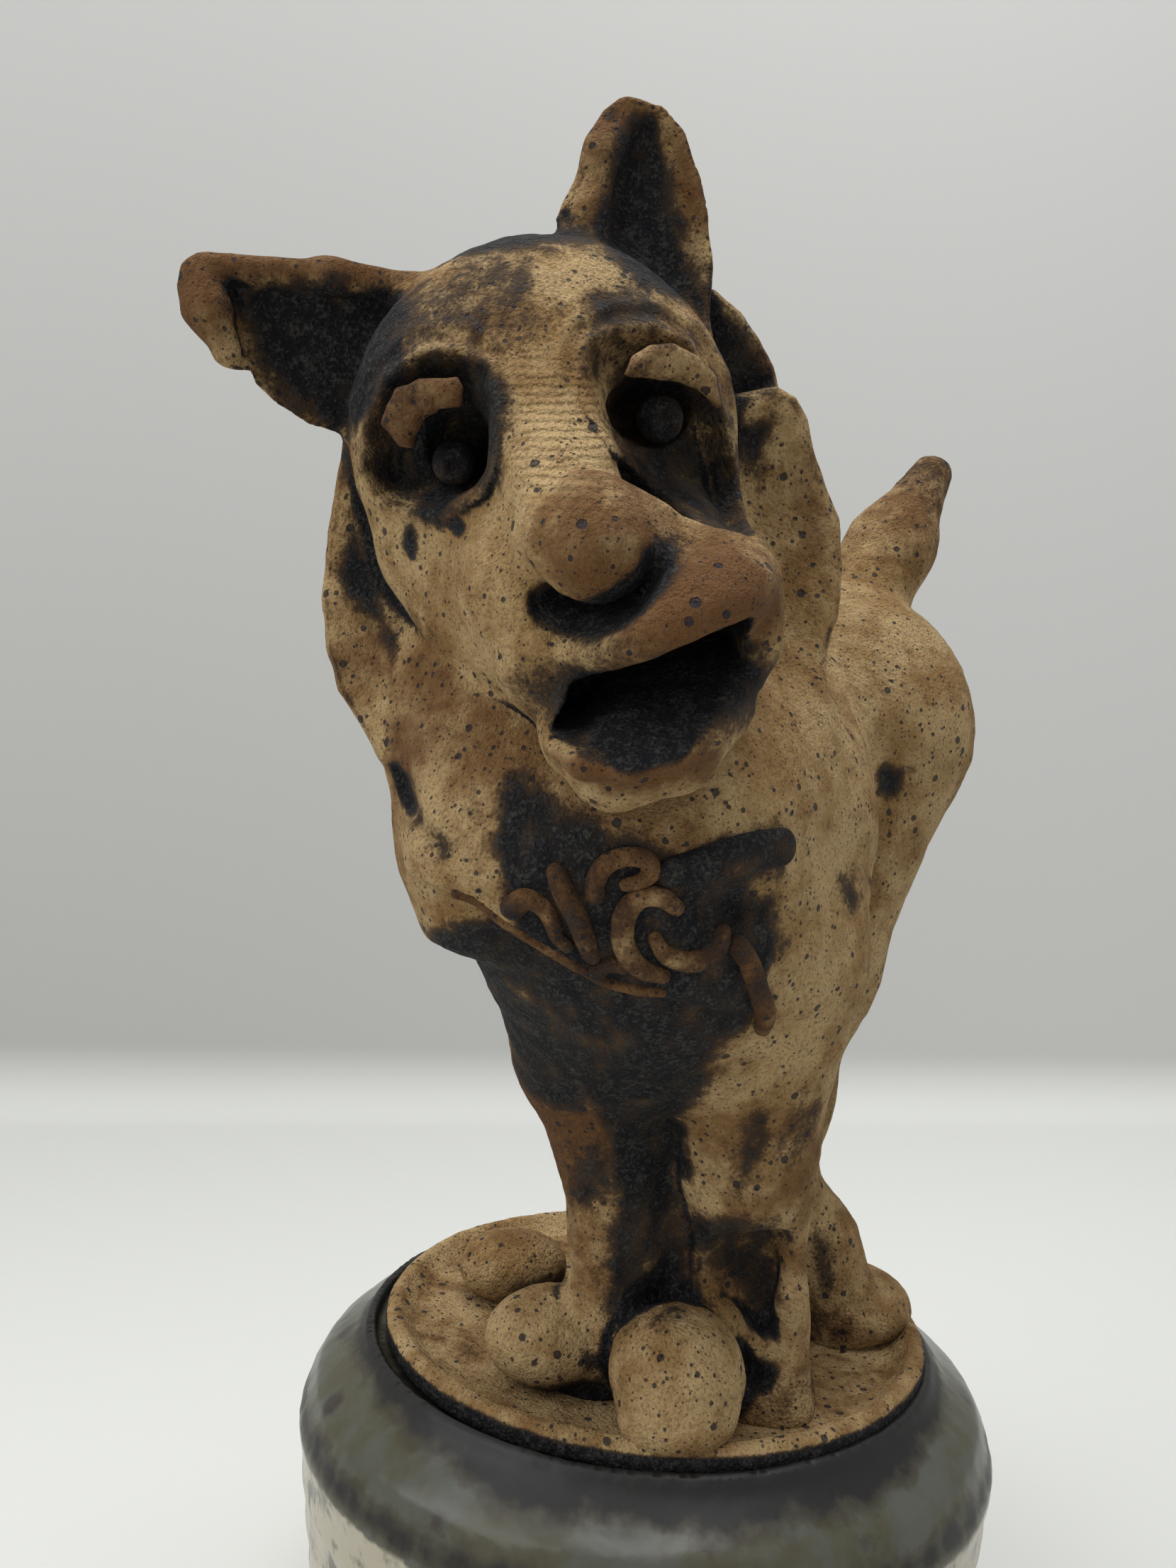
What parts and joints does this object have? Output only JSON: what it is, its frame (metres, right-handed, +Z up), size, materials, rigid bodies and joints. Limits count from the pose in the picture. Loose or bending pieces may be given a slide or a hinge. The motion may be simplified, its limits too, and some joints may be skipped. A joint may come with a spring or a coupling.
{
  "type": "pottery dog figurine",
  "caption": "Hand-built stoneware dog standing on a dished disc set in a round glazed thrown base, head turned and mouth open, as a shelf ornament.",
  "frame": {"origin": "centre of the flat underside of the thrown base", "axes": "+Z up along the axis of the base; the dog looks along -Y, with its own left side on +X and its head turned to its left"},
  "size_m": [0.08, 0.1011, 0.1728],
  "materials": {
    "ash_glaze": "glossy grey-green ash glaze with iron speckle and dark runs at rim and shoulder",
    "bare_clay": "unglazed toasted stoneware, dry, with iron specks and dark oxide wash in the recesses",
    "toasted_clay": "unglazed stoneware toasted darker brown, dry, with iron specks",
    "stained_clay": "unglazed stoneware under a dry black oxide stain"
  },
  "bodies": {
    "root": {"thrown_base": "ash_glaze", "neck_and_chest": "bare_clay", "torso": "bare_clay", "haunch_left": "bare_clay", "haunch_right": "bare_clay", "front_leg_left": "bare_clay", "front_leg_right": "bare_clay", "hind_leg_left": "bare_clay", "hind_leg_right": "bare_clay", "front_paw_left": "bare_clay", "front_paw_right": "bare_clay", "hind_paw_left": "bare_clay", "hind_paw_right": "bare_clay", "tail": "bare_clay", "muzzle": "bare_clay", "standing_disc": "toasted_clay", "cranium": "toasted_clay", "lower_jaw": "toasted_clay", "nose": "toasted_clay", "eyelid_left": "toasted_clay", "eyelid_right": "toasted_clay", "crest": "toasted_clay", "ruff_left": "toasted_clay", "ruff_right": "toasted_clay", "curl_hook": "toasted_clay", "curl_strip": "toasted_clay", "curl_loop": "toasted_clay", "curl_round": "toasted_clay", "curl_crescent": "toasted_clay", "curl_long": "toasted_clay", "curl_scrap": "toasted_clay", "bib_edge": "toasted_clay", "ear_left": "stained_clay", "ear_right": "stained_clay", "eye_left": "stained_clay", "eye_right": "stained_clay", "collar_strap": "stained_clay"}
  },
  "joints": []
}
